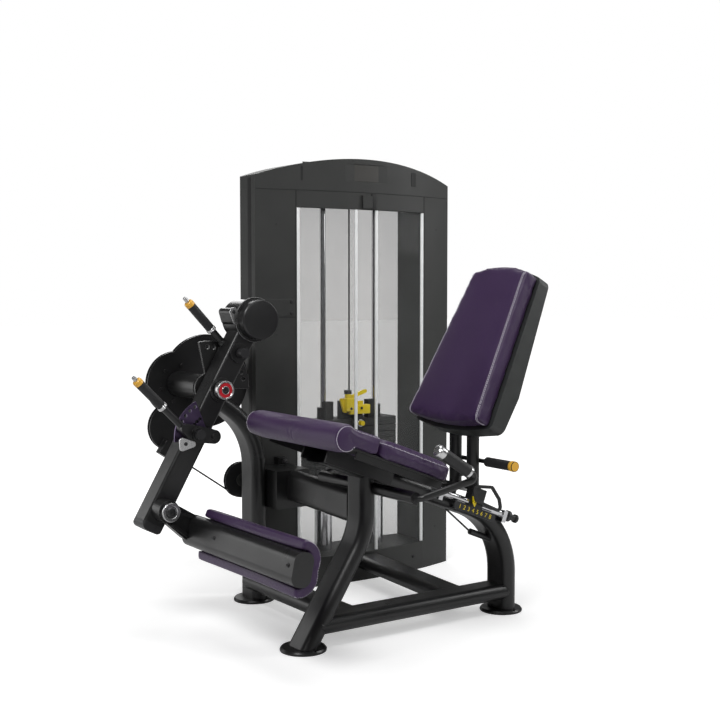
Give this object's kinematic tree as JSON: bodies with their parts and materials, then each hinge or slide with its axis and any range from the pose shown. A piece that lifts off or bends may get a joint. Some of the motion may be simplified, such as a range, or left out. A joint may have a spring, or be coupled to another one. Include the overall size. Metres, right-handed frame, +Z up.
{
  "type": "leg extension machine",
  "caption": "Selectorised leg extension machine: sloping padded seat and back on an oval-tube frame, cam-driven lever arm with shin pad, and an enclosed weight tower beside it.",
  "frame": {"origin": "centre of the bounding box's footprint, on the floor", "axes": "+X towards the back of the seated user, who faces -X; +Y towards the weight tower; +Z up"},
  "size_m": [1.4238, 1.1184, 1.518],
  "materials": {
    "frame_black": "satin textured powder coat",
    "tower_grey": "fine-grained powder coat",
    "rear_grey": "light satin paint",
    "purple_vinyl": "soft upholstery vinyl with stitching",
    "shell_plastic": "moulded grained plastic",
    "grip_rubber": "soft hand grip",
    "amber_plastic": "smooth amber",
    "yellow_plastic": "smooth yellow",
    "red_plastic": "smooth red",
    "black_plastic": "satin black",
    "chrome": "polished",
    "steel": "zinc plated",
    "plate_iron": "black painted",
    "clear_shield": "clear polycarbonate",
    "cable_black": "nylon jacketed steel cable"
  },
  "bodies": {
    "frame": {"pivot_leg": "frame_black", "seat_front_leg": "frame_black", "seat_boom": "frame_black", "boom_plug": "black_plastic", "base_tubes": "frame_black", "main_beam": "frame_black", "beam_socket": "frame_black", "foot_plates": "frame_black", "pivot_housing": "frame_black", "pivot_bearings": "steel", "seat_pan": "frame_black", "front_cushion": "purple_vinyl", "rear_cushion": "purple_vinyl", "seat_handles": "frame_black", "handle_grips": "grip_rubber", "handle_caps": "chrome", "slide_rails": "chrome", "number_plate": "black_plastic", "assist_cylinder": "black_plastic", "tower_columns": "tower_grey", "tower_crossmembers": "tower_grey", "tower_cap": "tower_grey", "rear_panel": "rear_grey", "shields": "clear_shield", "guide_rods": "chrome", "cam_cable": "cable_black", "lift_cable": "cable_black"},
    "cam_wheel": {"pivot_shaft": "steel", "cam": "frame_black", "start_sector": "steel", "knee_cap": "red_plastic"},
    "lever_arm": {"arm_tube": "frame_black", "arm_hub": "frame_black", "arm_end_cap": "black_plastic", "counterweight": "frame_black", "start_lever": "frame_black", "start_grip": "grip_rubber", "start_cap": "amber_plastic", "shin_pin": "chrome", "pad_sector": "steel"},
    "start_pin": {"start_plunger": "black_plastic"},
    "start_push": {"start_button": "chrome"},
    "pad_lever": {"pad_bracket": "frame_black", "pad_grip": "grip_rubber", "pad_cap": "amber_plastic"},
    "pad_pin": {"pad_plunger": "black_plastic"},
    "shin_roll": {"shin_link": "frame_black", "shin_tube": "frame_black", "shin_pad": "purple_vinyl"},
    "back_rest": {"back_carriage": "frame_black", "back_cover": "shell_plastic", "back_pad": "purple_vinyl"},
    "latch": {"release_lever": "frame_black"},
    "stack": {"weight_plates": "plate_iron", "head_plate": "plate_iron"},
    "flip_lever": {"increment_lever": "yellow_plastic"},
    "stack_pin": {"selector_pin": "yellow_plastic"},
    "lower_wheel": {"low_pulley": "black_plastic"},
    "column_wheel": {"column_pulley": "black_plastic"},
    "stack_wheel": {"stack_pulley": "black_plastic"}
  },
  "joints": [
    {"name": "cam_swing", "type": "hinge", "parent": "frame", "child": "cam_wheel", "pos_m": [-0.40707, 0.36425, 0.741], "axis": [0, 1, 0], "range_deg": [0, 70], "deforming": ["cam_cable"]},
    {"name": "arm_start", "type": "hinge", "parent": "cam_wheel", "child": "lever_arm", "pos_m": [-0.40707, 0.19425, 0.741], "axis": [0, 1, 0], "range_deg": [-20, 30]},
    {"name": "start_pin_slide", "type": "slide", "parent": "lever_arm", "child": "start_pin", "axis": [0, 1, 0], "range_m": [0, 0.0075]},
    {"name": "start_push_slide", "type": "slide", "parent": "lever_arm", "child": "start_push", "axis": [0.6807, 0, -0.7325], "range_m": [0, 0.008], "stiffness_N_per_m": 400, "springref_m": -0.002},
    {"name": "pad_lever_swing", "type": "hinge", "parent": "lever_arm", "child": "pad_lever", "pos_m": [-0.45136, 0.13425, 0.59927], "axis": [0, 1, 0], "range_deg": [0, 48]},
    {"name": "pad_pin_slide", "type": "slide", "parent": "pad_lever", "child": "pad_pin", "axis": [0, 1, 0], "range_m": [0, 0.0035]},
    {"name": "shin_swivel", "type": "hinge", "parent": "lever_arm", "child": "shin_roll", "pos_m": [-0.61182, 0.13425, 0.38348], "axis": [0, 1, 0], "range_deg": [-20, 30]},
    {"name": "back_slide", "type": "slide", "parent": "frame", "child": "back_rest", "axis": [0.9336, 0, -0.3584], "range_m": [-0.066, 0.08]},
    {"name": "latch_lift", "type": "hinge", "parent": "back_rest", "child": "latch", "pos_m": [0.29093, -0.23575, 0.47], "axis": [0, 1, 0], "range_deg": [0, 12], "stiffness_Nm_per_rad": 12, "springref_deg": -20.05},
    {"name": "weight_lift", "type": "slide", "parent": "frame", "child": "stack", "axis": [0, 0, 1], "range_m": [0, 0.2571], "deforming": ["lift_cable"]},
    {"name": "flip_lever_swing", "type": "hinge", "parent": "stack", "child": "flip_lever", "pos_m": [0.24593, 0.42925, 0.616], "axis": [0, 1, 0], "range_deg": [-20, 0]},
    {"name": "stack_pin_pull", "type": "slide", "parent": "stack", "child": "stack_pin", "axis": [0, -1, 0], "range_m": [0, 0.06]},
    {"name": "lower_wheel_turn", "type": "hinge", "parent": "frame", "child": "lower_wheel", "pos_m": [-0.16407, 0.47425, 0.393], "axis": [0, 1, 0], "range_deg": [0, 266.8]},
    {"name": "column_wheel_turn", "type": "hinge", "parent": "frame", "child": "column_wheel", "pos_m": [-0.06747, 0.47425, 1.414], "axis": [0, 1, 0], "range_deg": [-356.9, 0]},
    {"name": "stack_wheel_turn", "type": "hinge", "parent": "frame", "child": "stack_wheel", "pos_m": [0.25463, 0.47425, 1.414], "axis": [0, 1, 0], "range_deg": [-356.9, 0]}
  ],
  "couplings": [
    {"joint": "weight_lift", "follows": "cam_swing", "m_per_rad": 0.21},
    {"joint": "lower_wheel_turn", "follows": "cam_swing", "ratio": 3.7975},
    {"joint": "column_wheel_turn", "follows": "cam_swing", "ratio": -5.0847},
    {"joint": "stack_wheel_turn", "follows": "cam_swing", "ratio": -5.0847}
  ]
}
